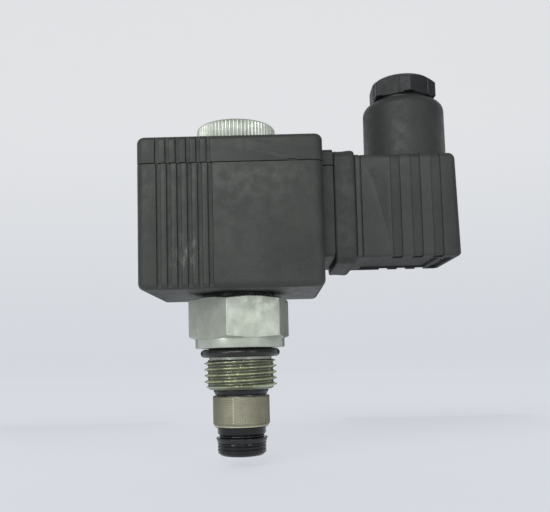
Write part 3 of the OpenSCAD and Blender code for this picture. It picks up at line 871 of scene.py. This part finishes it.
def threaded_metal(name, colour, stain):
    """Plated thread: roots painted darker as painted shade, bright crests and a patchy yellow-green tint."""
    p = Paint(name, colour, 0.85, 0.26, 0.5)
    radius = p.tree.nodes.new("ShaderNodeVectorMath")
    radius.operation = "LENGTH"
    flat = p.node("ShaderNodeVectorMath", Vector=p.coords)
    flat.operation = "MULTIPLY"
    flat.inputs[1].default_value = (1, 1, 0)
    p.tree.links.new(flat.outputs["Vector"], radius.inputs[0])
    # painted shade: the thread's roots are painted darker than its crests
    depth = p.ramp(radius.outputs["Value"], (THREAD_R - 0.95) * MM, (THREAD_R - 0.25) * MM)
    tint = p.ramp(p.noise(170, 5, 0.65), 0.38, 0.62)
    base = p.mix(tint, stain, colour)
    spots = p.ramp(p.noise(1300, 5, 0.75), 0.62, 0.72)
    base = p.mix(p.maths("MULTIPLY", spots, 0.5), base, tinted(stain, 0.4))
    p.set_colour(p.mix(depth, tinted(stain, 0.5), base))
    p.set_roughness(p.ramp(p.noise(500, 5), 0.3, 0.7, 0.2, 0.38))
    p.bump(p.noise(1700, 3, 0.6, p.stretched(0.6, 0.6, 6)), 0.1, 0.0002)
    return p.mat


def woven_wire(name, colour):
    p = Paint(name, colour, 0.75, 0.42, 0.5)
    cloud = p.ramp(p.noise(240, 5, 0.65), 0.34, 0.68)
    base = p.mix(cloud, colour, tinted(colour, 0.72))
    shade_and_highlight_pointiness = p.tree.nodes.new("ShaderNodeNewGeometry").outputs["Pointiness"]
    # painted shade: the dips between the wires are painted dark
    base = p.mix(p.ramp(shade_and_highlight_pointiness, 0.5, 0.44), base, tinted(colour, 0.25))
    # painted highlight: the tops of the wires are painted bright
    base = p.mix(p.ramp(shade_and_highlight_pointiness, 0.52, 0.58, 0.0, 0.6), base, tinted(colour, 1.9))
    p.set_colour(base)
    p.set_roughness(p.ramp(p.noise(900, 4), 0.3, 0.7, 0.34, 0.55))
    p.bump(p.noise(5200, 2), 0.12, 0.0001)
    return p.mat


def backdrop_paint(name, colour):
    """Pale paper that glows a little as painted light, as if lit from its own side; the glow is painted
    dimmer low down and brighter higher up.
    """
    p = Paint(name, colour, 0.0, 0.9, 0.1)
    p.shader.inputs["Emission Strength"].default_value = 0.62
    # painted light: the emitted glow is dimmer on the floor and brighter up the sweep
    height = p.ramp(p.axis("Z"), -0.1, 0.6)
    painted_glow = p.mix(height, (0.84, 0.87, 0.93), (0.985, 0.99, 1.0))
    p.tree.links.new(painted_glow, p.shader.inputs["Emission Color"])
    cloud = p.ramp(p.noise(3.0, 3), 0.3, 0.7)
    p.set_colour(p.mix(cloud, tinted(colour, 0.992), tinted(colour, 1.008)))
    p.set_roughness(p.ramp(p.noise(60, 3), 0.3, 0.7, 0.86, 0.94))
    p.bump(p.noise(400, 2), 0.02, 0.0002)
    return p.mat


# middle X and Z and half sizes of the rub marks on the coil's lower grooves, in metres
COIL_SCUFF = (-0.0118, 0.0228, 0.0055, 0.006)

MATERIALS = {
    "plated_steel": plated_metal(
        "plated_steel", (0.56, 0.595, 0.515), (0.45, 0.48, 0.40), 0.36, (0.6, 0.6, 6), 0.3, 0.75),
    "thread_steel": threaded_metal("thread_steel", (0.56, 0.59, 0.37), (0.42, 0.45, 0.34)),
    "core_steel": plated_metal("core_steel", (0.60, 0.61, 0.61), (0.45, 0.46, 0.46), 0.3, (0.6, 0.6, 8)),
    "spring_steel": plated_metal("spring_steel", (0.55, 0.55, 0.55), (0.4, 0.4, 0.4), 0.26),
    "cage_metal": plated_metal(
        "cage_metal", (0.016, 0.016, 0.017), (0.009, 0.009, 0.01), 0.1, (1, 1, 5), 0.2, 0.3),
    "screen_mesh": woven_wire("screen_mesh", (0.38, 0.37, 0.27)),
    "coil_plastic": moulded_plastic(
        "coil_plastic", (0.033, 0.036, 0.031), (0.2, 0.21, 0.19), 0.5, 0.5, COIL_SCUFF),
    "connector_plastic": moulded_plastic(
        "connector_plastic", (0.030, 0.0325, 0.030), (0.17, 0.18, 0.17), 0.35, 0.5),
    "gland_plastic": moulded_plastic(
        "gland_plastic", (0.013, 0.0138, 0.0135), (0.12, 0.12, 0.12), 0.3, 0.46),
    "gasket_rubber": rubber("gasket_rubber", (0.032, 0.034, 0.031), 0.58, (0.2, 0.2, 0.19), 0.3),
    "seal_rubber": rubber("seal_rubber", (0.015, 0.015, 0.016), 0.24, (0.3, 0.3, 0.3), 0.05),
    "bobbin_plastic": moulded_plastic("bobbin_plastic", (0.62, 0.57, 0.44), (0.7, 0.66, 0.55), 0.3, 0.45),
    "copper": plated_metal("copper", (0.62, 0.25, 0.11), (0.45, 0.16, 0.07), 0.3, (1, 1, 30), 0.5),
    "yoke_steel": plated_metal("yoke_steel", (0.3, 0.31, 0.31), (0.2, 0.2, 0.2), 0.42),
    "blade_tin": plated_metal("blade_tin", (0.76, 0.76, 0.72), (0.6, 0.6, 0.56), 0.28),
    "brass": plated_metal("brass", (0.68, 0.5, 0.22), (0.5, 0.36, 0.14), 0.28),
    "block_plastic": moulded_plastic("block_plastic", (0.1, 0.105, 0.1), (0.2, 0.2, 0.2), 0.3, 0.5),
    "nut_zinc": plated_metal("nut_zinc", (0.60, 0.63, 0.57), (0.48, 0.52, 0.43), 0.38, (1, 1, 1), 0.2, 0.7),
}


def dress(obj, slot, material=None):
    obj.data.materials.clear()
    obj.data.materials.append(MATERIALS[material or slot])


def place(obj, body, slot, *nodes, material=None):
    """Gives a finished piece its material and its body, and hides the CAD nodes that it stands for."""
    dress(obj, slot, material)
    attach(obj, body)
    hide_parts(*nodes)
    return obj


# ---------------------------------------------------------------- the object
for part in frame["record"]["subparts"]:
    node = frame["nodes"][part["node"]]
    for poly in node.data.polygons:
        poly.use_smooth = True
    node.data.set_sharp_from_angle(angle=math.radians(30))
    dress(node, part["material_slot"])

place(make_coil_shell(), "coil", "coil_plastic", "coil_housing")
place(make_coil_cap(), "coil", "coil_plastic", "coil_cap")
place(make_coil_nut(), "coil_nut", "nut_zinc", "coil_nut")
place(make_gasket(), "connector", "gasket_rubber", "connector_gasket")
place(make_plug_housing(), "connector", "connector_plastic", "connector_housing")
place(make_gland_screw(), "gland_screw", "connector_plastic", "gland_screw", material="gland_plastic")
place(make_valve_body(), "valve", "plated_steel", "valve_body")
place(make_thread(), "valve", "thread_steel", "valve_body")
seal_mid = (RING_LO[2] + RING_HI[2]) / 2
place(torus("face_seal_ring", SEAL_RING_R, SEAL_CORD_R, seal_mid, SEAL_LEAN),
      "valve", "seal_rubber", "body_face_seal")
place(make_cage_seal(), "valve", "seal_rubber", "cage_seal")
place(make_filter_screen(), "valve", "screen_mesh", "filter_screen")
place(make_cage(), "valve", "cage_metal", "cage")
place(make_backup_ring(), "valve", "seal_rubber", "nose_backup_ring")
place(make_spring("poppet_spring_wound", "poppet_spring", 0.35, 12),
      "poppet", "spring_steel", "poppet_spring")
place(make_spring("armature_spring_wound", "armature_spring", 0.3, 10),
      "armature", "spring_steel", "armature_spring")


# ---------------------------------------------------------------- room, camera and lights
def make_backdrop():
    """Pale floor that sweeps up into a far, soft background."""
    floor_z = BODY_LO[2] - 17
    reach, bend_y, radius, width = 2600, 900, 500, 3000
    profile = [(-reach, floor_z), (bend_y, floor_z)]
    profile += arc(bend_y, floor_z + radius, radius, -84, 0, 14)
    profile.append((bend_y + radius, reach))
    verts = []
    for y, z in profile:
        verts += [(-width * MM, y * MM, z * MM), (width * MM, y * MM, z * MM)]
    faces = [(2 * i, 2 * i + 1, 2 * i + 3, 2 * i + 2) for i in range(len(profile) - 1)]
    mesh = bpy.data.meshes.new("backdrop")
    mesh.from_pydata(verts, [], faces)
    obj = bpy.data.objects.new("backdrop", mesh)
    SCENE.collection.objects.link(obj)
    for poly in mesh.polygons:
        poly.use_smooth = True
    mesh.materials.append(backdrop_paint("backdrop", (0.24, 0.25, 0.26)))


def make_camera():
    """Camera a little below the middle of the coil, looking slightly up."""
    place_mm = Vector((10.08, -184.38, -2.7))
    yaw, pitch, roll = -0.0032, 0.0822, -0.0242
    field = 43.13
    ahead = Vector((math.sin(yaw) * math.cos(pitch), math.cos(yaw) * math.cos(pitch), math.sin(pitch)))
    level = Vector((math.cos(yaw), -math.sin(yaw), 0))
    up = level.cross(ahead)
    right = math.cos(roll) * level + math.sin(roll) * up
    up = math.cos(roll) * up - math.sin(roll) * level
    camera = bpy.data.cameras.new("camera")
    camera.sensor_width = 36
    camera.angle = math.radians(field)
    camera.shift_y = 0.08
    camera.clip_start, camera.clip_end = 0.01, 20
    obj = bpy.data.objects.new("camera", camera)
    turn = Matrix((right, up, -ahead)).transposed().to_4x4()
    obj.matrix_world = Matrix.Translation(place_mm * MM) @ turn
    SCENE.collection.objects.link(obj)
    SCENE.camera = obj


def area_light(name, spot, aim, size, watts, colour=(1, 1, 1)):
    light = bpy.data.lights.new(name, "AREA")
    light.shape = "RECTANGLE"
    light.size, light.size_y = size
    light.energy = watts
    light.color = colour
    obj = bpy.data.objects.new(name, light)
    obj.location = spot
    obj.rotation_mode = "QUATERNION"
    obj.rotation_quaternion = (Vector(aim) - Vector(spot)).to_track_quat("-Z", "Y")
    SCENE.collection.objects.link(obj)


def dark_flag(name, x, y):
    """Black card behind one side of the cartridge end, for darker sides on the metal; no camera sees it."""
    low, high, half_width = -75, 45, 42
    corners = [(x + dx * half_width, y, z) for dx, z in ((-1, low), (1, low), (1, high), (-1, high))]
    mesh = bpy.data.meshes.new(name)
    mesh.from_pydata([tuple(c * MM for c in v) for v in corners], [], [(0, 1, 2, 3)])
    mesh.materials.append(card_paint())
    obj = bpy.data.objects.new(name, mesh)
    SCENE.collection.objects.link(obj)
    obj.visible_camera = False
    obj.visible_shadow = False


def card_paint():
    p = Paint("black_card", (0.012, 0.012, 0.012), 0.0, 0.95, 0.05)
    p.set_roughness(p.ramp(p.noise(60, 3), 0.3, 0.7, 0.9, 1.0))
    return p.mat


def make_lights():
    """Soft strips to both sides of the camera, a wide fill above it and a pale room."""
    middle = (0.015, 0, 0.02)
    for name, azimuth, height, distance, size, watts in (
        ("strip_right", 40, 0.3, 1.2, (0.3, 0.9), 2.0),
        ("strip_left", -40, 0.35, 1.2, (0.16, 0.9), 3.0),
        ("fill", -12, 0.75, 1.3, (0.9, 0.5), 8.0),
    ):
        a = math.radians(azimuth)
        spot = (distance * math.sin(a), -distance * math.cos(a), height)
        area_light(name, spot, middle, size, watts)
    flag_x, flag_y = 80, 130
    dark_flag("flag_left", -flag_x, flag_y)
    dark_flag("flag_right", flag_x, flag_y)
    world = bpy.data.worlds.new("world")
    world.use_nodes = True
    shade = world.node_tree.nodes["Background"]
    shade.inputs["Color"].default_value = (0.84, 0.87, 0.92, 1)
    shade.inputs["Strength"].default_value = 0.35
    SCENE.world = world
    SCENE.view_settings.view_transform = "Standard"


make_backdrop()
make_camera()
make_lights()
